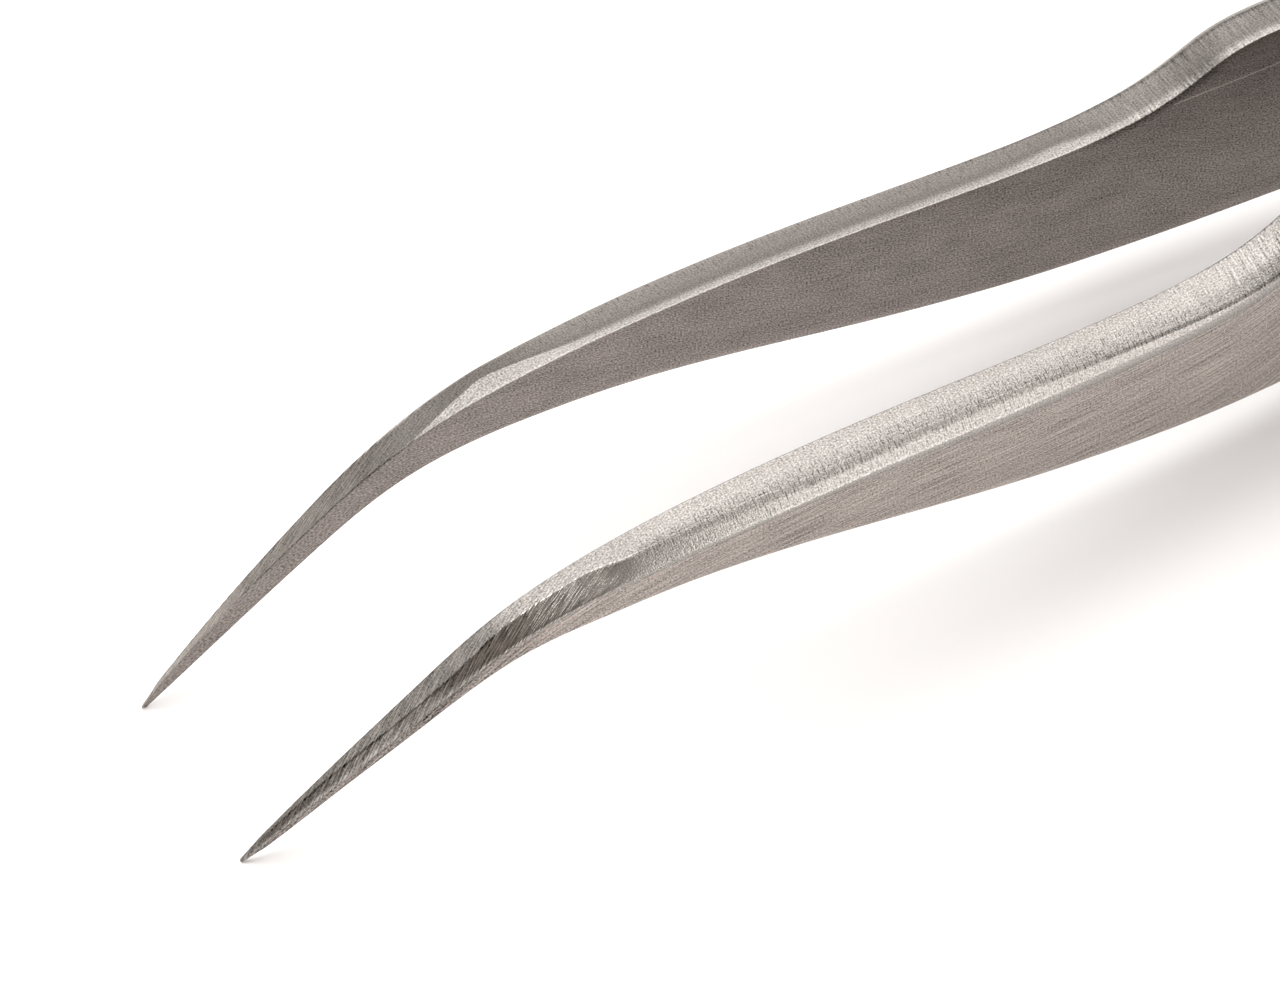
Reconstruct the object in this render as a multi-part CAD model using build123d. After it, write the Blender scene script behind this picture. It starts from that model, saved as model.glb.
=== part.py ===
from build123d import *

import os

import numpy as np

# Curved fine-point tweezers lying on their lower edges, in millimetres.
# +X runs from the tips to the tail, the arms open along Y, and +Z is up.
# The origin is on the ground, under the middle of the bounding box.
# The curves below are drawn against the distance from the tips.

# ---- Driving dimensions ----
LENGTH = 115.0
FLEX_AT = 88.0  # where each arm's spring zone is hinged
FLEX_GAP = 0.02  # clearance between the blade and the tail of an arm
TAIL_CORNER = 2.2  # rounding of the tail seen from the side
TAIL_HALF_THICKNESS = 1.12  # each arm's share of the welded tail, pressed flat by the welding
PRESSED_FROM = 105.0  # where the flat sides of the welded tail begin
RUN_OUT = 0.2  # slope of the run-out in front of the flat sides, steeper than the arm's own
NUGGET_RADIUS = 1.5
NUGGET_DEPTH = 0.55  # how far a weld nugget reaches into each arm
NUGGETS = {"front": 104.0, "middle": 107.7, "rear": 111.4}

# Outline seen from the side: heights of the two long edges.
UPPER_EDGE = [
    (0.0, 0.2), (1.2, 1.3), (3.9, 3.6), (7.2, 6.08), (10.2, 8.1), (12.4, 9.08), (15.5, 9.87),
    (19.0, 10.32), (23.0, 10.5), (29.0, 10.4), (35.0, 10.05), (38.5, 9.93), (41.5, 10.05),
    (43.5, 10.45), (45.5, 11.4), (46.8, 12.22), (47.8, 12.6), (50.0, 12.88), (56.0, 13.05),
    (70.0, 12.4), (90.0, 10.7), (115.0, 8.1),
]
LOWER_EDGE = [
    (0.15, 0.0), (2.0, 1.15), (3.9, 2.38), (7.4, 4.68), (10.4, 6.44), (12.4, 7.12), (15.0, 7.42),
    (17.5, 7.36), (21.0, 7.0), (26.0, 5.96), (31.0, 4.7), (36.0, 3.67), (40.0, 3.13), (44.0, 2.9),
    (49.0, 2.95), (56.0, 2.9), (70.0, 2.4), (90.0, 1.35), (104.0, 0.38), (109.5, 0.0), (115.0, -0.12),
]
# How far a section's upper point leans towards the tips, so that sections stay square to the arm.
LEAN = [(0.0, 0.075), (5.0, 0.30), (10.0, 0.38), (14.5, 0.20), (19.0, 0.0), (115.0, 0.0)]

# Outline seen from above: the inner face, and the thickness outward from it.
INNER_FACE = [
    (0.0, 4.02), (4.0, 4.17), (12.0, 4.19), (24.0, 4.1), (33.6, 3.99), (38.4, 3.85), (43.2, 3.63), (48.0, 3.27),
    (55.0, 2.82), (65.0, 2.13), (75.0, 1.45), (85.0, 0.8), (93.0, 0.33), (99.0, 0.04),
    (104.0, -0.06), (115.0, -0.06),
]
THICKNESS = [
    (0.0, 0.24), (4.0, 0.68), (8.0, 1.17), (11.0, 1.45), (14.5, 1.73), (17.5, 1.8), (20.5, 1.88),
    (24.0, 1.92), (30.0, 1.88), (36.0, 1.82), (42.0, 1.9), (48.0, 1.95), (58.0, 1.85),
    (70.0, 1.65), (85.0, 1.42), (97.0, 1.28), (115.0, 1.24),
]
# Cross-section: the flat part of each long edge, then a bevel that drops to the outer face.
EDGE_FLAT = [
    (0.0, 0.12), (4.0, 0.25), (8.0, 0.4), (11.0, 0.6), (14.5, 0.95), (20.0, 1.2), (24.0, 1.3),
    (43.0, 1.3), (58.0, 1.3), (85.0, 1.05), (115.0, 0.9),
]
BEVEL_DROP = [
    (0.0, 0.09), (4.0, 0.4), (8.0, 0.56), (11.0, 0.65), (14.5, 0.6), (20.0, 0.68), (29.0, 0.78),
    (43.0, 0.7), (48.0, 0.56), (70.0, 0.5), (115.0, 0.4),
]

SHAPED_LENGTH = 60.0  # the neck and shoulder, which need close sections
CLOSE_SPACING = 1.5
WIDE_SPACING = 5.0


def curve_through(points):
    """A smooth natural cubic curve through (distance, value) points, as a function of distance."""
    at, value = np.array(points, float).T
    step = np.diff(at)
    rise = np.diff(value) / step
    inner = range(1, len(at) - 1)
    matrix = np.eye(len(at))
    bend = np.zeros(len(at))
    for i in inner:
        matrix[i, i - 1 : i + 2] = step[i - 1], 2 * (step[i - 1] + step[i]), step[i]
        bend[i] = 6 * (rise[i] - rise[i - 1])
    curvature = np.linalg.solve(matrix, bend)

    def height(x):
        i = int(np.clip(np.searchsorted(at, x) - 1, 0, len(step) - 1))
        before = (x - at[i]) / step[i]
        after = 1 - before
        pull = curvature[i] * (after**3 - after) + curvature[i + 1] * (before**3 - before)
        return float(after * value[i] + before * value[i + 1] + step[i] ** 2 / 6 * pull)

    return height


upper_edge = curve_through(UPPER_EDGE)
lower_edge = curve_through(LOWER_EDGE)
lean = curve_through(LEAN)
inner_face = curve_through(INNER_FACE)
thickness = curve_through(THICKNESS)
edge_flat = curve_through(EDGE_FLAT)
bevel_drop = curve_through(BEVEL_DROP)


def section(x):
    """The arm's six-sided section at distance x: flat inner face, flat edges, two outer bevels."""
    shift = lean(x) if x < 19 else 0.0
    top = np.array([x + 0.075 - shift, upper_edge(x + 0.075 - shift)])
    foot = np.array([x + 0.075 + shift, lower_edge(x + 0.075 + shift)])
    if x >= LENGTH:
        top[0] = foot[0] = LENGTH
    down = (foot - top) / np.linalg.norm(foot - top)
    y = inner_face(x)
    flat = y + edge_flat(x)
    outer = y + thickness(x)
    drop = down * bevel_drop(x)
    corners = [
        (y, top), (flat, top), (outer, top + drop), (outer, foot - drop), (flat, foot), (y, foot),
    ]
    points = [(p[0] - LENGTH / 2, across, p[1]) for across, p in corners]
    return Face(Wire.make_polygon(points, close=True))


def section_places():
    """Distances from the tips at which the arm is sectioned: close in the neck, wide behind."""
    close = np.arange(0.0, SHAPED_LENGTH, CLOSE_SPACING)
    wide = np.arange(SHAPED_LENGTH, LENGTH + 0.1, WIDE_SPACING)
    return [float(x) for x in [*close, *wide]]


def block(x_low, x_high):
    """A block between two distances from the tips, larger than one arm across and up."""
    size = Vector(x_high - x_low, 20, 30)
    middle = Vector((x_low + x_high - LENGTH) / 2, size.Y / 2, 0)
    return Pos(middle) * Box(size.X, size.Y, size.Z)


def arm_space():
    """The space an arm may fill: on its side of the middle plane, above the ground, and no thicker
    than the pressed tail where the arms are welded."""
    far = LENGTH + 1
    plan = [
        (-1.0, 0.0), (far, 0.0), (far, TAIL_HALF_THICKNESS), (PRESSED_FROM, TAIL_HALF_THICKNESS),
        (-1.0, TAIL_HALF_THICKNESS + RUN_OUT * (PRESSED_FROM + 1)),
    ]
    face = Face(Wire.make_polygon([(x - LENGTH / 2, y, 0) for x, y in plan], close=True))
    return extrude(face, 20, dir=(0, 0, 1))


def tail_corners():
    """What rounding takes off the two corners of the tail."""
    start = LENGTH - TAIL_CORNER
    corners = [
        (start, 0.0), (LENGTH, 0.0), (LENGTH, upper_edge(LENGTH)), (start, upper_edge(start)),
    ]
    outline = Face(Wire.make_polygon([(x - LENGTH / 2, 0, z) for x, z in corners], close=True))
    rounded = fillet(outline.vertices().group_by(Axis.X)[-1], TAIL_CORNER * 0.9)
    return block(start, LENGTH + 1) - extrude(rounded, 25, dir=(0, 1, 0))


def right_arm():
    """One whole arm, with its weld face, its foot and the sides of its tail trimmed flat."""
    return loft([section(x) for x in section_places()]) & arm_space()


def nugget(place):
    """One weld nugget, a short disc across the middle plane."""
    height = (upper_edge(place) + lower_edge(place)) / 2
    disc = Cylinder(NUGGET_RADIUS, 2 * NUGGET_DEPTH)
    return Pos(place - LENGTH / 2, 0, height) * Rot(90, 0, 0) * disc


def arm_tail(arm):
    """The welded end of an arm, with rounded corners and a seat for each nugget."""
    tail = (arm & block(FLEX_AT, LENGTH + 1)) - tail_corners()
    for place in NUGGETS.values():
        tail -= nugget(place)
    return tail


def write(name, shape):
    solids = shape.solids()
    export_step(Compound(children=solids) if len(solids) > 1 else solids[0], f"parts/{name}.step")


os.makedirs("parts", exist_ok=True)

arm = right_arm()
blade = arm & block(-1, FLEX_AT - FLEX_GAP)
tail = arm_tail(arm)

write("right_arm_blade", blade)
write("left_arm_blade", mirror(blade, Plane.XZ))
write("right_arm_tail", tail)
write("left_arm_tail", mirror(tail, Plane.XZ))
for position, place in NUGGETS.items():
    write(f"weld_nugget_{position}", nugget(place))
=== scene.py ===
import math

import bpy
import numpy as np
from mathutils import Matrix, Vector


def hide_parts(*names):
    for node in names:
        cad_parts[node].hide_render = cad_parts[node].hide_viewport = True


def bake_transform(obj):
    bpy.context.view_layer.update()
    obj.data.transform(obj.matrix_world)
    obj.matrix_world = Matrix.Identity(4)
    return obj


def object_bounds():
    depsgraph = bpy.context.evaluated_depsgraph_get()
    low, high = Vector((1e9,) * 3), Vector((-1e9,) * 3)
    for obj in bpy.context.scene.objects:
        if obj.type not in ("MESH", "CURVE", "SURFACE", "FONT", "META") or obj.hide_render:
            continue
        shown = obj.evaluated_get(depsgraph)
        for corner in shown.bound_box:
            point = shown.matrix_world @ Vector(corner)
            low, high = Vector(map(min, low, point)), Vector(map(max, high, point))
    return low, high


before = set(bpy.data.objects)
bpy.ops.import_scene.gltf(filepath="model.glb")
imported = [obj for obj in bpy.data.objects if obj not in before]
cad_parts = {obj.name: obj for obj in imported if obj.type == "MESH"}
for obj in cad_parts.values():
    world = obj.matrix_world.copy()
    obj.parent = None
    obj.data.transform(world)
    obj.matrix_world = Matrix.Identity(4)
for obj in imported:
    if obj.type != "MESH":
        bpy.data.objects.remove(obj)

# Curved fine-point tweezers. Names that end in _MM and all the curves are in millimetres.
# Everything that goes into Blender is in metres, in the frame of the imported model.
MM = 0.001
cad_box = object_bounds()
TIP_X = cad_box[0].x
LENGTH_MM = (cad_box[1].x - cad_box[0].x) / MM

# ---- The arm seen from the side, against the distance from the tips ----
UPPER_EDGE = [
    (0.0, 0.2), (1.2, 1.3), (3.9, 3.6), (7.2, 6.08), (10.2, 8.1), (12.4, 9.08), (15.5, 9.87),
    (19.0, 10.32), (23.0, 10.5), (29.0, 10.4), (35.0, 10.05), (38.5, 9.93), (41.5, 10.05),
    (43.5, 10.45), (45.5, 11.4), (46.8, 12.22), (47.8, 12.6), (50.0, 12.88), (56.0, 13.05),
    (70.0, 12.4), (90.0, 10.7), (115.0, 8.1),
]
LOWER_EDGE = [
    (0.15, 0.0), (2.0, 1.15), (3.9, 2.38), (7.4, 4.68), (10.4, 6.44), (12.4, 7.12), (15.0, 7.42),
    (17.5, 7.36), (21.0, 7.0), (26.0, 5.96), (31.0, 4.7), (36.0, 3.67), (40.0, 3.13), (44.0, 2.9),
    (49.0, 2.95), (56.0, 2.9), (70.0, 2.4), (90.0, 1.35), (104.0, 0.38), (109.5, 0.0), (115.0, -0.12),
]
# How far a section's upper point leans towards the tips, so that sections stay square to the arm.
LEAN = [(0.0, 0.075), (5.0, 0.30), (10.0, 0.38), (14.5, 0.20), (19.0, 0.0), (115.0, 0.0)]
LEAN_END_MM = 19.0
TIP_OFFSET_MM = 0.075

# ---- The arm seen from above ----
INNER_FACE = [
    (0.0, 4.02), (4.0, 4.17), (12.0, 4.19), (24.0, 4.1), (33.6, 3.99), (38.4, 3.85), (43.2, 3.63),
    (48.0, 3.27), (55.0, 2.82), (65.0, 2.13), (75.0, 1.45), (85.0, 0.8), (93.0, 0.33), (99.0, 0.04),
    (104.0, -0.06), (115.0, -0.06),
]
THICKNESS = [
    (0.0, 0.24), (4.0, 0.68), (8.0, 1.17), (11.0, 1.45), (14.5, 1.73), (17.5, 1.8), (20.5, 1.88),
    (24.0, 1.92), (30.0, 1.88), (36.0, 1.82), (42.0, 1.9), (48.0, 1.95), (58.0, 1.85),
    (70.0, 1.65), (85.0, 1.42), (97.0, 1.28), (115.0, 1.24),
]

# ---- The upper edge across its section, from the inner corner: how far out, and how far down ----
# The crest is where the flat beside the inner corner ends. On the right arm that flat widens into a
# crisp facet at the bend.
CREST_OUT = {
    "right": [
        (0.0, 0.03), (12.2, 0.04), (15.3, 0.88), (17.2, 0.62), (18.8, 0.38), (21.0, 0.34), (37.5, 0.4),
        (39.8, 0.62), (42.0, 0.32), (50.0, 0.3), (115.0, 0.3),
    ],
    "left": [
        (0.0, 0.03), (5.0, 0.15), (11.0, 0.25), (14.5, 0.3), (17.0, 0.5), (28.0, 0.5), (36.0, 0.43),
        (115.0, 0.3),
    ],
}
CREST_DROP = [(0.0, 0.0), (11.0, 0.005), (18.0, 0.01), (115.0, 0.01)]
# The ridge is where the upper edge rolls over into the bevel.
RIDGE_OUT = {
    "right": [
        (0.0, 0.12), (2.0, 0.28), (4.0, 0.46), (8.0, 0.85), (11.0, 1.1), (13.0, 1.27), (15.3, 1.46),
        (20.0, 1.58), (24.0, 1.64), (31.5, 1.62), (38.5, 1.62), (43.0, 1.72), (50.0, 1.6), (70.0, 1.35),
        (115.0, 0.95),
    ],
    "left": [
        (0.0, 0.08), (2.0, 0.16), (4.0, 0.29), (6.0, 0.53), (8.0, 0.71), (9.0, 0.74), (10.0, 0.69),
        (11.0, 0.58), (12.4, 0.64), (14.6, 0.68), (16.0, 1.0), (20.0, 1.24), (24.0, 1.42), (31.5, 1.36),
        (34.5, 1.4), (38.5, 1.56), (42.5, 1.77), (45.0, 1.85), (50.0, 1.7), (70.0, 1.35), (115.0, 0.95),
    ],
}
RIDGE_DROP = {
    "right": [
        (0.0, 0.02), (4.0, 0.1), (8.0, 0.18), (11.0, 0.22), (13.0, 0.22), (15.3, 0.2), (18.8, 0.28),
        (24.0, 0.3), (42.0, 0.26), (44.0, 0.3), (47.0, 0.3), (52.0, 0.2), (115.0, 0.1),
    ],
    "left": [
        (0.0, 0.01), (4.0, 0.03), (9.0, 0.07), (10.5, 0.035), (14.6, 0.04), (16.5, 0.14), (20.0, 0.17),
        (24.0, 0.22), (31.5, 0.21), (34.5, 0.22), (38.5, 0.25), (42.5, 0.35), (45.0, 0.39),
        (52.0, 0.26), (115.0, 0.1),
    ],
}
# The brow is where the bevel meets the outer face.
BROW_SHARE = [(0.0, 0.8), (8.0, 0.83), (11.0, 0.86), (13.0, 0.89), (17.0, 0.97), (22.0, 1.0), (115.0, 1.0)]
BROW_DROP = [
    (0.0, 0.07), (4.0, 0.26), (8.0, 0.33), (11.0, 0.42), (13.0, 0.43), (15.0, 0.47), (17.0, 0.62),
    (20.0, 0.68), (26.0, 0.72), (31.5, 0.8), (34.5, 0.78), (38.5, 0.65), (42.5, 0.53), (45.0, 0.5),
    (50.0, 0.48), (70.0, 0.45), (115.0, 0.36),
]
# How far the edge stands above a straight line from the crest to the ridge. The left arm rolls over
# there, and the right arm is ground flat.
ROLL_SHARE = 0.5
ROLL_LIFT = {
    "right": [(0.0, 0.0), (115.0, 0.0)],
    "left": [
        (0.0, 0.0), (15.0, 0.0), (17.0, 0.035), (24.0, 0.05), (38.5, 0.05), (42.5, 0.07), (46.0, 0.08),
        (52.0, 0.05), (70.0, 0.03), (115.0, 0.02),
    ],
}
ROLL_ROUNDING_MM = 0.2
# The lower edge has a plain flat and bevel.
LOWER_FLAT = [
    (0.0, 0.12), (4.0, 0.25), (8.0, 0.4), (11.0, 0.6), (14.5, 0.95), (20.0, 1.2), (24.0, 1.3),
    (58.0, 1.3), (85.0, 1.05), (115.0, 0.9),
]
LOWER_RISE = [
    (0.0, 0.09), (4.0, 0.4), (8.0, 0.56), (11.0, 0.65), (14.5, 0.6), (20.0, 0.68), (29.0, 0.78),
    (43.0, 0.7), (48.0, 0.56), (70.0, 0.5), (115.0, 0.4),
]
# How far each corner's rounding reaches along its two runs: crisp at the bend, soft along the neck.
LONGEST_SHARE = 0.45  # but no further than this share of a run
CREST_ROUNDING = {
    "right": [(0.0, 0.02), (17.5, 0.03), (21.0, 0.2), (115.0, 0.2)],
    "left": [(0.0, 0.05), (8.0, 0.1), (18.0, 0.2), (115.0, 0.14)],
}
RIDGE_ROUNDING = [
    (0.0, 0.02), (4.0, 0.035), (14.6, 0.03), (16.2, 0.08), (20.0, 0.16), (27.0, 0.16), (33.0, 0.1),
    (40.0, 0.06), (115.0, 0.2),
]
BROW_ROUNDING = [
    (0.0, 0.03), (5.0, 0.1), (8.0, 0.12), (10.5, 0.06), (14.5, 0.05), (24.0, 0.06), (34.0, 0.1),
    (115.0, 0.14),
]
INNER_ROUNDING_MM = 0.03
LOW_ROUNDING_MM = 0.12
FULL_ROUNDING_FROM_MM = 1.2  # where the arm is thinner than this, its roundings shrink with it
# The last stretch of each point is ground finer, and its end is rounded off.
FINE_TIP_MM = 0.9
TIP_WIDTH_SHARE = 0.55
TIP_LOWERED_MM = 0.12
TIP_ROUNDING_MM = 0.08
TIP_END_SHARE = 0.4

# ---- Tail ----
PRESSED_FROM_MM = 105.0  # the welding presses the sides flat behind this
PRESSED_HALF_MM = 1.12
RUN_OUT = 0.2
TAIL_RADIUS_MM = 1.98
TAIL_ROUND_FROM_MM = LENGTH_MM - TAIL_RADIUS_MM
OFFSET_UNTIL_MM = TAIL_ROUND_FROM_MM - 0.1
SEAM_HALF_MM = 0.003

# ---- One long scratch on each inner face, as (x, z) in metres ----
SCRATCH_START = (TIP_X + 44.6 * MM, 10.5 * MM)
SCRATCH_END = (TIP_X + 52.0 * MM, 11.0 * MM)
SCRATCH_HALF_WIDTH = 0.045 * MM

# ---- The mesh's rings along the arm ----
TIP_RINGS = 6
TAIL_RINGS = 14
STRETCHES_MM = [  # start, end and spacing
    (0.125, 20.0, 0.125), (20.0, 50.0, 0.25), (50.0, 100.0, 0.7), (100.0, TAIL_ROUND_FROM_MM, 0.3),
]

# ---- How straight runs are rounded where they meet ----
KINK_REACH_MM = 0.35
KINK_SAMPLES = 7


def curve_through(points):
    """A smooth natural cubic curve through (distance, value) points, for arrays of distances."""
    at, value = np.array(points, float).T
    step = np.diff(at)
    rise = np.diff(value) / step
    matrix = np.eye(len(at))
    bend = np.zeros(len(at))
    for i in range(1, len(at) - 1):
        matrix[i, i - 1 : i + 2] = step[i - 1], 2 * (step[i - 1] + step[i]), step[i]
        bend[i] = 6 * (rise[i] - rise[i - 1])
    curvature = np.linalg.solve(matrix, bend)

    def height(x):
        i = np.clip(np.searchsorted(at, x) - 1, 0, len(step) - 1)
        before = (x - at[i]) / step[i]
        after = 1 - before
        pull = curvature[i] * (after**3 - after) + curvature[i + 1] * (before**3 - before)
        return after * value[i] + before * value[i + 1] + step[i] ** 2 / 6 * pull

    return height


def line_through(points):
    """Straight runs through (distance, value) points, rounded a little where they meet."""
    at, value = np.array(points, float).T
    spread = np.linspace(-KINK_REACH_MM, KINK_REACH_MM, KINK_SAMPLES)

    def height(x):
        x = np.asarray(x, float)
        return np.mean([np.interp(x + s, at, value) for s in spread], axis=0)

    return height


upper_edge = curve_through(UPPER_EDGE)
lower_edge = curve_through(LOWER_EDGE)
lean = curve_through(LEAN)
inner_face = curve_through(INNER_FACE)
thickness = curve_through(THICKNESS)
crest_out = {hand: line_through(points) for hand, points in CREST_OUT.items()}
crest_drop = line_through(CREST_DROP)
ridge_out = {hand: line_through(points) for hand, points in RIDGE_OUT.items()}
ridge_drop = {hand: line_through(points) for hand, points in RIDGE_DROP.items()}
brow_share = line_through(BROW_SHARE)
brow_drop = line_through(BROW_DROP)
lower_flat = line_through(LOWER_FLAT)
lower_rise = line_through(LOWER_RISE)
crest_rounding = {hand: line_through(points) for hand, points in CREST_ROUNDING.items()}
ridge_rounding = line_through(RIDGE_ROUNDING)
brow_rounding = line_through(BROW_ROUNDING)
roll_lift = {hand: line_through(points) for hand, points in ROLL_LIFT.items()}


# ---- Arm mesh ----
def stations():
    """Distances from the tips of the mesh's rings: close at the tip and the bend, wide in the grip,
    and bunched towards the rounded tail."""
    tip_turn = np.linspace(0, math.pi / 2, TIP_RINGS)
    tail_turn = np.linspace(0, math.pi / 2, TAIL_RINGS + 1)[1:]
    return np.concatenate([
        TIP_ROUNDING_MM * (1 - np.cos(tip_turn)),
        *[np.arange(start, end, spacing) for start, end, spacing in STRETCHES_MM],
        TAIL_ROUND_FROM_MM + TAIL_RADIUS_MM * np.sin(tail_turn),
    ])


def arc(before, corner, after, reach, count):
    """Points that round a corner of an outline, starting and ending about that far from it."""
    to_before, to_after = before - corner, after - corner
    start = corner + to_before * min(LONGEST_SHARE, reach / np.linalg.norm(to_before))
    end = corner + to_after * min(LONGEST_SHARE, reach / np.linalg.norm(to_after))
    share = np.linspace(0, 1, count)[:, None]
    return start * (1 - share) ** 2 + corner * 2 * share * (1 - share) + end * share**2


def between(start, end, count, bulge=0.0):
    """The points between two others, bulging sideways by a distance in the middle."""
    share = np.linspace(0, 1, count + 2)[1:-1, None]
    side = np.array([end[1] - start[1], start[0] - end[0]])
    side = side / max(np.linalg.norm(side), 1e-9)
    return start * (1 - share) + end * share + side * bulge * 4 * share * (1 - share)


# The corners of the outline and the run after each, in order, with how many points each has.
CORNERS = {
    "inner_top": 4, "crest": 6, "roll": 6, "ridge": 7,
    "brow": 5, "outer_low": 5, "low": 7, "inner_low": 4,
}
RUNS = {
    "flat": 3, "crown": 4, "slope": 3, "bevel": 4,
    "outer": 18, "low_bevel": 3, "bottom": 8, "inner": 14,
}
OUTER_BULGE_MM = 0.02


def outline(x, height, hand):
    """The section at distance x as (outward, down) points, from the inner top corner outward."""
    t = float(thickness(x))
    scale = min(1.0, t / FULL_ROUNDING_FROM_MM)
    crest = np.array([float(crest_out[hand](x)), float(crest_drop(x))])
    ridge = np.array([float(ridge_out[hand](x)), float(ridge_drop[hand](x))])
    roll = crest * (1 - ROLL_SHARE) + ridge * ROLL_SHARE - (0.0, float(roll_lift[hand](x)))
    corners = np.array([
        (0.0, 0.0),
        crest,
        roll,
        ridge,
        (t * float(brow_share(x)), float(brow_drop(x))),
        (t, height - float(lower_rise(x))),
        (float(lower_flat(x)), height),
        (0.0, height),
    ])
    reaches = [
        INNER_ROUNDING_MM * scale,
        float(crest_rounding[hand](x)),
        ROLL_ROUNDING_MM,
        float(ridge_rounding(x)),
        float(brow_rounding(x)),
        float(brow_rounding(x)),
        LOW_ROUNDING_MM * scale,
        INNER_ROUNDING_MM * scale,
    ]
    turns = len(corners)
    arcs = []
    for i, count in enumerate(CORNERS.values()):
        arcs.append(arc(corners[i - 1], corners[i], corners[(i + 1) % turns], reaches[i], count))
    points = []
    for i, (run, count) in enumerate(RUNS.items()):
        bulge = OUTER_BULGE_MM * scale if run == "outer" else 0.0
        points += [arcs[i], between(arcs[i][-1], arcs[(i + 1) % turns][0], count, bulge)]
    return np.concatenate(points)


def tail_drop(x):
    """How far the rounded tail corners cut down from each long edge."""
    past = max(0.0, x - TAIL_ROUND_FROM_MM)
    return TAIL_RADIUS_MM - math.sqrt(max(0.0, TAIL_RADIUS_MM**2 - past**2))


def ring(x, hand):
    """One ring of the arm in metres, with its outline in millimetres."""
    shift = float(lean(x)) if x < LEAN_END_MM else 0.0
    offset = TIP_OFFSET_MM if x < OFFSET_UNTIL_MM else 0.0
    lowered = np.interp(x, [0.0, FINE_TIP_MM], [TIP_LOWERED_MM, 0.0])
    top = np.array([x + offset - shift, upper_edge(x + offset - shift) - tail_drop(x) - lowered])
    foot_height = max(0.0, float(lower_edge(x + offset + shift)))
    foot = np.array([x + offset + shift, foot_height + tail_drop(x)])
    height = float(np.linalg.norm(foot - top))
    section = outline(x, height, hand)
    section[:, 0] *= np.interp(x, [0.0, FINE_TIP_MM], [TIP_WIDTH_SHARE, 1.0])
    if x < TIP_ROUNDING_MM:
        middle = section.mean(axis=0)
        rounded = math.sqrt(1 - (1 - x / TIP_ROUNDING_MM) ** 2)
        section = middle + (section - middle) * max(TIP_END_SHARE, rounded)
    along_up = top + section[:, 1:] * (foot - top) / height
    limit = PRESSED_HALF_MM + RUN_OUT * max(0.0, PRESSED_FROM_MM - x)
    across = np.clip(inner_face(x) + section[:, 0], SEAM_HALF_MM, limit)
    points = np.stack([along_up[:, 0], SIDES[hand] * across, along_up[:, 1]], axis=1)
    points[:, 0] = TIP_X / MM + points[:, 0]
    return points * MM, section


def zone_names():
    """Which part of the outline each of its points starts."""
    names = []
    for (corner, turn_points), (run, run_points) in zip(CORNERS.items(), RUNS.items()):
        names += [corner] * turn_points + [run] * run_points
    return names


SIDES = {"right": 1, "left": -1}
INNER_ZONES = ("inner", "inner_low")
OUTER_ZONES = ("outer", "outer_low")
CM_PER_MM = 0.1


def arm(hand, materials):
    """One arm from tip to tail as a single ground and brushed piece."""
    name = f"{hand}_arm"
    side = SIDES[hand]
    places = stations()
    rings, sections = zip(*(ring(x, hand) for x in places))
    count = len(rings[0])
    faces = []
    zones = zone_names()
    slots = []
    for i in range(len(places) - 1):
        for j in range(count):
            k = (j + 1) % count
            corners = [i * count + j, i * count + k, (i + 1) * count + k, (i + 1) * count + j]
            faces.append(corners if side > 0 else corners[::-1])
            slots.append(0 if zones[j] in INNER_ZONES else 2 if zones[j] in OUTER_ZONES else 1)
    last = (len(places) - 1) * count
    front, back = list(range(count)), list(range(last, last + count))
    faces += [front[::-1], back] if side > 0 else [front, back[::-1]]
    slots += [1, 1]
    mesh = bpy.data.meshes.new(name)
    mesh.from_pydata(np.concatenate(rings).tolist(), [], faces)
    for material in materials:
        mesh.materials.append(material)
    mesh.polygons.foreach_set("material_index", slots)
    mesh.polygons.foreach_set("use_smooth", [True] * (len(faces) - 2) + [False] * 2)
    add_grain_map(mesh, places, sections, side)
    add_wear_and_painted_light(mesh, places, zones, hand)
    mesh.update()
    obj = bpy.data.objects.new(name, mesh)
    bpy.context.scene.collection.objects.link(obj)
    return obj


def add_grain_map(mesh, places, sections, side):
    """A UV map in centimetres: distance along the arm, and distance round its outline."""
    count = len(sections[0])
    round_it = []
    for section in sections:
        steps = np.linalg.norm(np.diff(section, axis=0, append=section[:1]), axis=1)
        round_it.append(np.concatenate([[0.0], np.cumsum(steps)]))
    grain = mesh.uv_layers.new(name="Grain")
    values = np.zeros((len(mesh.loops), 2), np.float32)
    for polygon in mesh.polygons:
        indices = [mesh.loops[n].vertex_index for n in polygon.loop_indices]
        wraps = {index % count for index in indices} == {0, count - 1}
        for n, index in zip(polygon.loop_indices, indices):
            i, j = divmod(index, count)
            around = round_it[i][count if wraps and j == 0 else j]
            values[n] = places[i] * CM_PER_MM, side * around * CM_PER_MM
    grain.data.foreach_set("uv", values.ravel())


# Wear and painted light along the arm as (distance, amount) points, and the zones of the outline that take
# it.
TOP_ZONES = {"inner_top": 1.0, "flat": 1.0, "crest": 1.0, "crown": 1.0, "roll": 1.0, "slope": 1.0}
COARSE = [(1.5, 0.4), (4.0, 0.6), (9.0, 0.6), (10.5, 1.1), (12.5, 1.0), (14.0, 0.6), (16.5, 0.0)]
COARSE_ZONES = {"ridge": 1.0, "bevel": 1.0, "brow": 0.8}
COARSE_TOP = [(1.5, 0.2), (5.0, 0.4), (9.5, 0.4), (12.0, 0.18), (15.0, 0.08), (16.0, 0.0)]
TICKS = [(15.5, 0.0), (18.0, 1.0), (36.0, 1.0), (42.0, 0.5), (50.0, 0.4), (90.0, 0.1)]
TICKS_ZONES = {"crown": 0.2, "roll": 0.6, "slope": 1.0, "ridge": 1.0, "bevel": 0.4}
SHOULDER = [(38.5, 0.0), (41.0, 0.3), (43.5, 0.9), (50.0, 0.8), (60.0, 0.3), (115.0, 0.25)]
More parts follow.
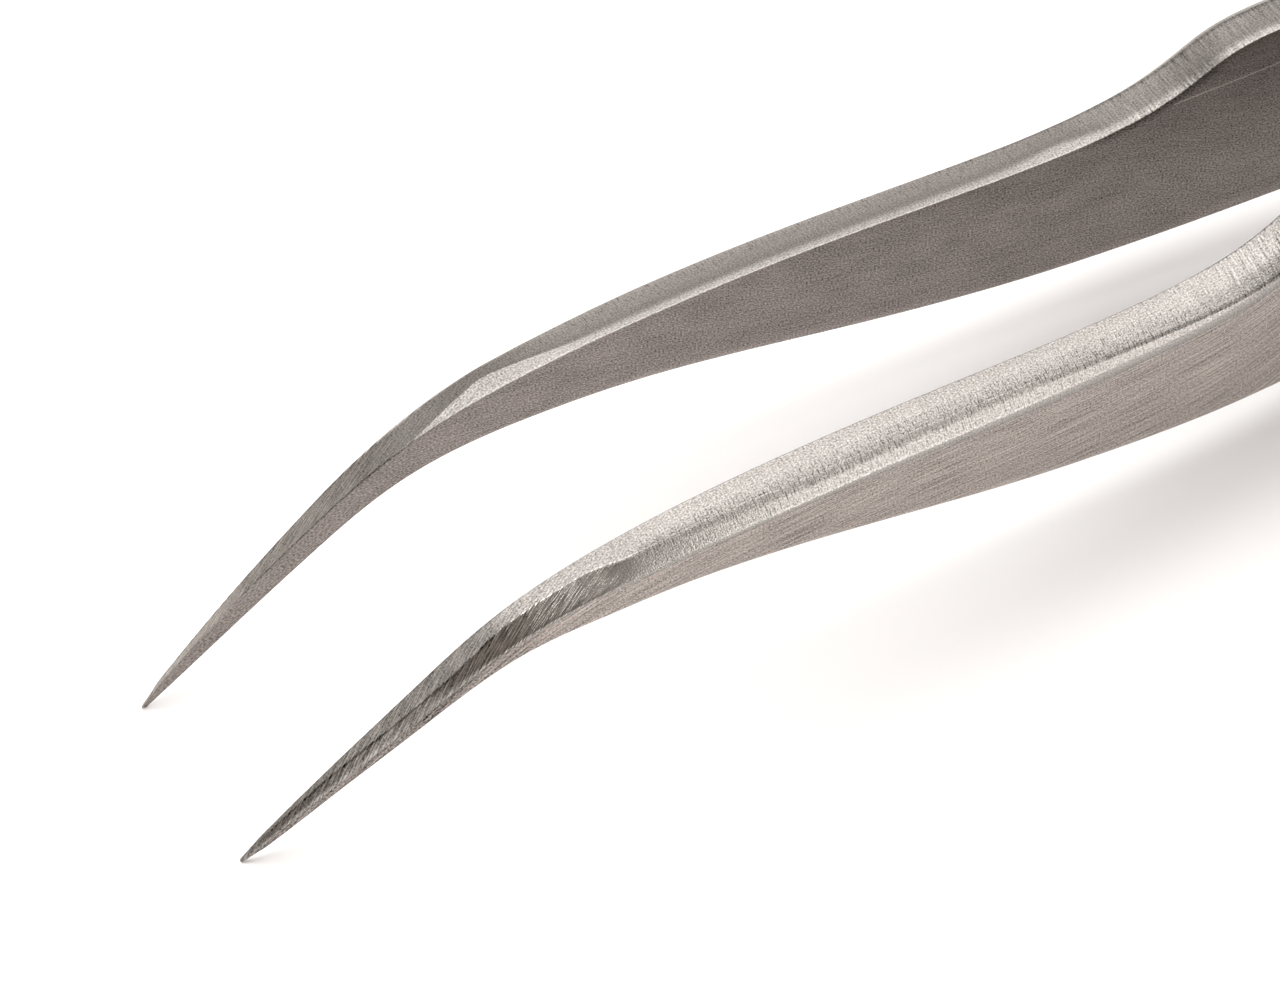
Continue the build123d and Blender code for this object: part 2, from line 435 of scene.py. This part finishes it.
SHOULDER_ZONES = {
    **TOP_ZONES, "ridge": 1.0, "bevel": 0.5, "low_bevel": 0.5, "low": 1.0, "bottom": 1.0,
}
# Tone is how much lighter or darker a zone is than its steel: painted highlights and painted shade, and
# the outer face darker towards the tip.
# Painted highlight on the right arm's upper edge near the tip, painted shade on the left arm's near the
# tip, and painted shade on both at the bend.
TOP_PAINTED_LIGHT = {
    "right": [
        (0.4, 0.0), (1.3, 0.65), (3.6, 0.55), (5.0, 0.16), (9.0, 0.12), (10.5, -0.12), (15.5, -0.12),
        (18.0, 0.0),
    ],
    "left": [(0.0, -0.06), (9.0, -0.06), (10.5, -0.12), (15.5, -0.12), (18.0, 0.0)],
}
# Painted shade on the bevel near the tip, and a faint painted highlight on it at the bend.
FACET_PAINTED_LIGHT = [
    (0.0, -0.15), (4.5, -0.15), (6.5, 0.0), (9.0, 0.0), (11.0, 0.12), (15.0, 0.05), (16.5, 0.0),
]
FACET_PAINTED_LIGHT_ZONES = {"bevel": 1.0}
# The outer face is darker towards the tip.
OUTER_DARKER_NEAR_TIP = [(0.0, -0.3), (8.5, -0.28), (12.5, 0.0)]
OUTER_DARKER_NEAR_TIP_ZONES = {"outer": 1.0, "outer_low": 1.0}
# A dark line of painted shade along the inner top corner, near the tip and under the shoulder.
INNER_CORNER_PAINTED_SHADE = [
    (0.6, 0.0), (1.0, -0.6), (2.4, -0.6), (3.2, -0.1), (4.0, -0.1), (6.0, -0.6), (11.0, -0.6),
    (12.5, 0.0), (40.5, 0.0), (42.0, -0.6), (46.0, -0.6), (47.5, 0.0),
]
INNER_CORNER_PAINTED_SHADE_ZONES = {"inner_top": 1.0}
# A dark line of painted shade along the ridge, near the tip and at the shoulder.
RIDGE_PAINTED_SHADE = [
    (0.6, 0.0), (1.6, -0.6), (5.5, -0.5), (10.3, -0.35), (11.3, 0.0), (33.0, 0.0), (39.0, -0.5),
    (50.0, -0.5), (60.0, 0.0),
]
RIDGE_PAINTED_SHADE_ZONES = {"ridge": 1.0}
# Painted highlight along the bevel, the brow and the corners, from the bend back.
EDGE_PAINTED_HIGHLIGHT = [(10.0, 0.0), (16.0, 0.35), (46.0, 0.35), (60.0, 0.2), (115.0, 0.2)]
EDGE_PAINTED_HIGHLIGHT_ZONES = {
    "bevel": 1.0, "ridge": 0.6, "brow": 1.0, "inner_top": 0.5, "inner_low": 0.8, "outer_low": 0.5,
}


def add_wear_and_painted_light(mesh, places, zones, hand):
    """Point attributes that say where and how much the arm's surface is marked, and where highlights and
    shade are painted into its colour (Tone).
    """
    def spread(along, across):
        amount = np.interp(places, *zip(*along))
        return np.outer(amount, [across.get(zone, 0.0) for zone in zones]).ravel()

    layers = {
        "Coarse": spread(COARSE, COARSE_ZONES) + spread(COARSE_TOP, TOP_ZONES),
        "Ticks": spread(TICKS, TICKS_ZONES),
        "Shoulder": spread(SHOULDER, SHOULDER_ZONES),
        # Tone: painted shade and highlights, and the outer face darker towards the tip.
        "Tone": (
            spread(OUTER_DARKER_NEAR_TIP, OUTER_DARKER_NEAR_TIP_ZONES) + spread(INNER_CORNER_PAINTED_SHADE, INNER_CORNER_PAINTED_SHADE_ZONES) + spread(RIDGE_PAINTED_SHADE, RIDGE_PAINTED_SHADE_ZONES)
            + spread(EDGE_PAINTED_HIGHLIGHT, EDGE_PAINTED_HIGHLIGHT_ZONES) + spread(TOP_PAINTED_LIGHT[hand], TOP_ZONES)
            + spread(FACET_PAINTED_LIGHT, FACET_PAINTED_LIGHT_ZONES)
        ),
    }
    for name, values in layers.items():
        mesh.attributes.new(name, "FLOAT", "POINT").data.foreach_set("value", values.astype(np.float32))


# ---- Materials ----
WELD_MOTTLES_PER_METRE = 2500.0
UNMARKED, FULLY_MARKED = 0.3, 1.3  # the values between which sparse marks run
SMOOTHER_WHERE_LIGHT = -0.1
ROUGHER_AT_TICKS = 0.12


def node(tree, kind, **values):
    """A node with its sockets and settings filled in; a number or colour goes on a socket."""
    made = tree.nodes.new(kind)
    for key, value in values.items():
        if key in made.inputs.keys():
            made.inputs[key].default_value = value
        else:
            setattr(made, key, value)
    return made


def combine(tree, operation, first, second):
    """A Math node on two values, each a socket or a number; returns its output."""
    made = tree.nodes.new("ShaderNodeMath")
    made.operation = operation
    for socket, value in zip(made.inputs, (first, second)):
        if isinstance(value, (int, float)):
            socket.default_value = value
        else:
            tree.links.new(value, socket)
    return made.outputs["Value"]


def marks(tree, slant, length, width, detail=0.0):
    """Grinding marks, as a noise about 0.5. Their slant from the arm is in degrees, and their size
    in millimetres."""
    grain = node(tree, "ShaderNodeUVMap", uv_map="Grain")
    turn = node(tree, "ShaderNodeMapping")
    turn.inputs["Rotation"].default_value = (0, 0, math.radians(-slant))
    stretch = node(tree, "ShaderNodeMapping")
    stretch.inputs["Scale"].default_value = (1 / CM_PER_MM / length, 1 / CM_PER_MM / width, 1.0)
    texture = node(tree, "ShaderNodeTexNoise", Scale=1.0, Detail=detail, Roughness=0.6)
    tree.links.new(grain.outputs["UV"], turn.inputs["Vector"])
    tree.links.new(turn.outputs["Vector"], stretch.inputs["Vector"])
    tree.links.new(stretch.outputs["Vector"], texture.inputs["Vector"])
    return texture.outputs["Fac"]


def sparse(tree, value, start, end):
    """Only the strongest marks, which fade in from start to end."""
    pick = node(tree, "ShaderNodeMapRange", interpolation_type="SMOOTHSTEP")
    pick.inputs["From Min"].default_value = start
    pick.inputs["From Max"].default_value = end
    pick.inputs["To Min"].default_value = UNMARKED
    pick.inputs["To Max"].default_value = FULLY_MARKED
    tree.links.new(value, pick.inputs["Value"])
    return pick.outputs["Result"]


def wear_and_painted_light(tree, name, amount=1.0):
    """A wear or painted-light attribute of the arm, times an amount."""
    attribute = node(tree, "ShaderNodeAttribute", attribute_name=name)
    return combine(tree, "MULTIPLY", attribute.outputs["Fac"], amount)


def weighted(tree, parts):
    """The sum of (value - 0.5) times its weight, over a list of (value, weight)."""
    total = 0.0
    for value, weight in parts:
        centred = combine(tree, "SUBTRACT", value, 0.5)
        total = combine(tree, "ADD", total, combine(tree, "MULTIPLY", centred, weight))
    return total


def steel(name, color, roughness, relief_depth, marked):
    """Ground stainless steel. marked(tree) returns two lists of (value, weight): what lightens and
    darkens the steel, and what is cut into it, relief_depth millimetres deep."""
    material = bpy.data.materials.new(name)
    material.use_nodes = True
    tree = material.node_tree
    tree.nodes.clear()
    link = tree.links.new
    output = node(tree, "ShaderNodeOutputMaterial")
    shader = node(tree, "ShaderNodeBsdfPrincipled", Metallic=1.0)
    link(shader.outputs["BSDF"], output.inputs["Surface"])
    lightened, cut = marked(tree)
    # Tone adds painted highlights and painted shade to the steel's colour.
    change = combine(tree, "ADD", weighted(tree, lightened), wear_and_painted_light(tree, "Tone"))
    tint = node(tree, "ShaderNodeMix", data_type="RGBA", blend_type="MULTIPLY")
    tint.inputs["Factor"].default_value = 1.0
    tint.inputs["A"].default_value = (*color, 1.0)
    link(combine(tree, "ADD", change, 1.0), tint.inputs["B"])
    link(tint.outputs["Result"], shader.inputs["Base Color"])
    smoother = combine(tree, "MULTIPLY", change, SMOOTHER_WHERE_LIGHT)
    rougher = combine(tree, "ADD", smoother, wear_and_painted_light(tree, "Ticks", ROUGHER_AT_TICKS))
    link(combine(tree, "ADD", rougher, roughness), shader.inputs["Roughness"])
    relief = node(tree, "ShaderNodeBump", Strength=1.0, Distance=relief_depth * MM)
    link(combine(tree, "ADD", weighted(tree, cut), 0.5), relief.inputs["Height"])
    link(relief.outputs["Normal"], shader.inputs["Normal"])
    return material


def long_scratch(tree):
    """One long scratch below the shoulder: 1.5 along it, and 0.5 elsewhere."""
    place = node(tree, "ShaderNodeSeparateXYZ")
    tree.links.new(node(tree, "ShaderNodeTexCoord").outputs["Object"], place.inputs["Vector"])
    (start_x, start_z), (end_x, end_z) = SCRATCH_START, SCRATCH_END
    slope = (end_z - start_z) / (end_x - start_x)
    half_length = (end_x - start_x) / 2

    def nearer(value, limit):
        return combine(tree, "LESS_THAN", combine(tree, "ABSOLUTE", value, 0.0), limit)

    along = combine(tree, "SUBTRACT", place.outputs["X"], start_x)
    above = combine(tree, "SUBTRACT", place.outputs["Z"], start_z)
    off_line = combine(tree, "SUBTRACT", above, combine(tree, "MULTIPLY", along, slope))
    on_line = nearer(off_line, SCRATCH_HALF_WIDTH)
    within = nearer(combine(tree, "SUBTRACT", along, half_length), half_length)
    return combine(tree, "ADD", combine(tree, "MULTIPLY", on_line, within), 0.5)


def inner_face_steel():
    """Satin, with an even grain, faint clouds and a few long scratches."""
    def marked(tree):
        grain = marks(tree, 0, 0.085, 0.07)
        satin = marks(tree, 8, 2.0, 0.09, 1.0)
        clouds = marks(tree, 12, 2.5, 1.2, 2.0)
        scratches = sparse(tree, marks(tree, 6, 9.0, 0.06), 0.72, 0.85)
        scratch = long_scratch(tree)
        return (
            [(grain, 1.8), (satin, 0.5), (clouds, 0.45), (scratches, 0.3), (scratch, 0.8)],
            [(grain, 1.0), (satin, 0.5)],
        )

    return steel("inner_face_steel", (0.26, 0.23, 0.215), 0.42, 0.006, marked)


def edge_steel():
    """Ground across the arm, with slanting marks at the bend, ticks over the rolled edge and a
    rippled shoulder."""
    def marked(tree):
        grain = marks(tree, 0, 0.075, 0.065)
        across = marks(tree, 88, 0.9, 0.06, 1.0)
        slanting = marks(tree, 25, 0.8, 0.05, 1.0)
        scratches = sparse(tree, marks(tree, 25, 1.0, 0.055), 0.46, 0.62)
        ticks = sparse(tree, marks(tree, 90, 0.35, 0.05), 0.58, 0.72)
        ripples = marks(tree, 88, 1.2, 0.085, 0.5)
        lightened = [
            (grain, 1.35), (across, 0.6), (slanting, wear_and_painted_light(tree, "Coarse", 3.0)),
            (scratches, wear_and_painted_light(tree, "Coarse", 1.4)), (ticks, wear_and_painted_light(tree, "Ticks", -0.5)),
            (ripples, wear_and_painted_light(tree, "Shoulder", 1.3)),
        ]
        cut = [
            (grain, 0.65), (grain, wear_and_painted_light(tree, "Ticks", 1.2)), (across, 0.6),
            (slanting, wear_and_painted_light(tree, "Coarse", 1.7)), (scratches, wear_and_painted_light(tree, "Coarse", 0.75)),
            (ticks, wear_and_painted_light(tree, "Ticks", -0.8)), (ripples, wear_and_painted_light(tree, "Shoulder", 1.2)),
        ]
        return lightened, cut

    return steel("edge_steel", (0.25, 0.236, 0.222), 0.34, 0.007, marked)


def outer_face_steel():
    """Brushed along the arm."""
    def marked(tree):
        grain = marks(tree, 0, 0.085, 0.075)
        brushing = marks(tree, 2, 3.0, 0.058, 1.0)
        bands = marks(tree, 4, 9.0, 0.3, 1.0)
        return (
            [(grain, 1.5), (brushing, 1.9), (bands, 0.3)],
            [(grain, 0.6), (brushing, 1.6), (bands, 0.25)],
        )

    return steel("outer_face_steel", (0.328, 0.293, 0.271), 0.36, 0.006, marked)


def weld_steel():
    """Plain weld metal, slightly mottled. The nuggets have no grain map, so it goes by place."""
    def marked(tree):
        place = node(tree, "ShaderNodeTexCoord").outputs["Object"]
        mottling = node(tree, "ShaderNodeTexNoise", Scale=WELD_MOTTLES_PER_METRE, Detail=2.0)
        tree.links.new(place, mottling.inputs["Vector"])
        mottled = mottling.outputs["Fac"]
        return [(mottled, 0.5)], [(mottled, 0.5)]

    return steel("weld_steel", (0.3, 0.29, 0.28), 0.45, 0.01, marked)


# ---- Studio ----
# Each softbox: azimuth and elevation in degrees, with azimuth 0 at +Y and 90 at +X, then its size in
# metres and its radiance.
SOFTBOXES = {
    "overhead_softbox": (14, 71, (1.25, 0.84), 3.05),
    "front_softbox": (158, 33, (0.32, 0.7), 3.2),
    "left_reflector": (-68, 32, (0.5, 0.35), 0.9),
}
SOFTBOX_DISTANCE = 0.8
SOFTBOX_TARGET = (0, 0, 0.006)
HORIZON_COLOR = (1.15, 1.09, 1.04, 1)
DIM_COLOR = (0.25, 0.205, 0.175, 1)
HORIZON_FADE = (0.05, 0.35)
HORIZON_HIGHER_AT_BACK = 0.24
HORIZON_HIGHER_AT_RIGHT = 0.18
FLOOR_SIZE = 6
PAPER_COLOR = (0.95, 0.95, 0.95, 1)

CAMERA_AZIMUTH = math.radians(-28.83)
CAMERA_ELEVATION = math.radians(52.0)
CAMERA_TARGET = Vector((TIP_X + 19.29 * MM, 0.0, 5.95 * MM))
CAMERA_DISTANCE = 0.3264
FOCAL_LENGTH_MM = 243.84
SENSOR_WIDTH_MM = 36.0
NEAREST_SEEN = 0.01


def aimed(obj, place, target):
    """Puts a light or camera at a place, pointing at a target."""
    obj.location = place
    obj.rotation_mode = "QUATERNION"
    obj.rotation_quaternion = (Vector(target) - Vector(place)).to_track_quat("-Z", "Y")


def softbox(name, azimuth, elevation, size, radiance):
    """A soft rectangular light that the camera doesn't see."""
    a, e = math.radians(azimuth), math.radians(elevation)
    toward = Vector((math.sin(a) * math.cos(e), math.cos(a) * math.cos(e), math.sin(e)))
    data = bpy.data.lights.new(name, "AREA")
    data.shape = "RECTANGLE"
    data.size, data.size_y = size
    data.energy = radiance * size[0] * size[1] * math.pi
    obj = bpy.data.objects.new(name, data)
    bpy.context.scene.collection.objects.link(obj)
    aimed(obj, toward * SOFTBOX_DISTANCE, SOFTBOX_TARGET)
    obj.visible_camera = False


def surroundings():
    """A studio that is pale round the horizon and dim overhead, where no light hangs."""
    world = bpy.data.worlds.new("studio")
    bpy.context.scene.world = world
    world.use_nodes = True
    tree = world.node_tree
    direction = node(tree, "ShaderNodeTexCoord")
    split = node(tree, "ShaderNodeSeparateXYZ")
    tree.links.new(direction.outputs["Generated"], split.inputs["Vector"])
    toward_back = combine(tree, "MULTIPLY", split.outputs["Y"], HORIZON_HIGHER_AT_BACK)
    toward_right = combine(tree, "MULTIPLY", split.outputs["X"], HORIZON_HIGHER_AT_RIGHT)
    higher = combine(tree, "MAXIMUM", combine(tree, "ADD", toward_back, toward_right), 0.0)
    rise = node(tree, "ShaderNodeMapRange", interpolation_type="SMOOTHSTEP")
    rise.inputs["From Min"].default_value, rise.inputs["From Max"].default_value = HORIZON_FADE
    tree.links.new(combine(tree, "SUBTRACT", split.outputs["Z"], higher), rise.inputs["Value"])
    shade = node(tree, "ShaderNodeMix", data_type="RGBA")
    shade.inputs["A"].default_value = HORIZON_COLOR
    shade.inputs["B"].default_value = DIM_COLOR
    tree.links.new(rise.outputs["Result"], shade.inputs["Factor"])
    tree.links.new(shade.outputs["Result"], tree.nodes["Background"].inputs["Color"])


def studio():
    """A plain pale floor, the softboxes and the surroundings."""
    bpy.ops.mesh.primitive_plane_add(size=FLOOR_SIZE)
    floor = bpy.context.object
    floor.name = "floor"
    paper = bpy.data.materials.new("paper")
    paper.use_nodes = True
    shader = paper.node_tree.nodes["Principled BSDF"]
    shader.inputs["Base Color"].default_value = PAPER_COLOR
    shader.inputs["Roughness"].default_value = 1.0
    shader.inputs["Specular IOR Level"].default_value = 0.0
    floor.data.materials.append(paper)
    for name, settings in SOFTBOXES.items():
        softbox(name, *settings)
    surroundings()


def camera():
    """Seen from the front left and above, close to the points."""
    back = Vector((
        math.sin(CAMERA_AZIMUTH) * math.cos(CAMERA_ELEVATION),
        -math.cos(CAMERA_AZIMUTH) * math.cos(CAMERA_ELEVATION),
        math.sin(CAMERA_ELEVATION),
    ))
    data = bpy.data.cameras.new("camera")
    data.lens = FOCAL_LENGTH_MM
    data.sensor_width = SENSOR_WIDTH_MM
    data.clip_start = NEAREST_SEEN
    obj = bpy.data.objects.new("camera", data)
    bpy.context.scene.collection.objects.link(obj)
    aimed(obj, CAMERA_TARGET + back * CAMERA_DISTANCE, CAMERA_TARGET)
    bpy.context.scene.camera = obj


camera()
studio()
bpy.context.scene.view_settings.view_transform = "Standard"

finishes = [inner_face_steel(), edge_steel(), outer_face_steel()]
for hand in SIDES:
    piece = arm(hand, finishes)
    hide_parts(f"{hand}_arm_blade", f"{hand}_arm_tail")
    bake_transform(piece)

weld_metal = weld_steel()
for position in ("front", "middle", "rear"):
    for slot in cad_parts[f"weld_nugget_{position}"].material_slots:
        slot.material = weld_metal
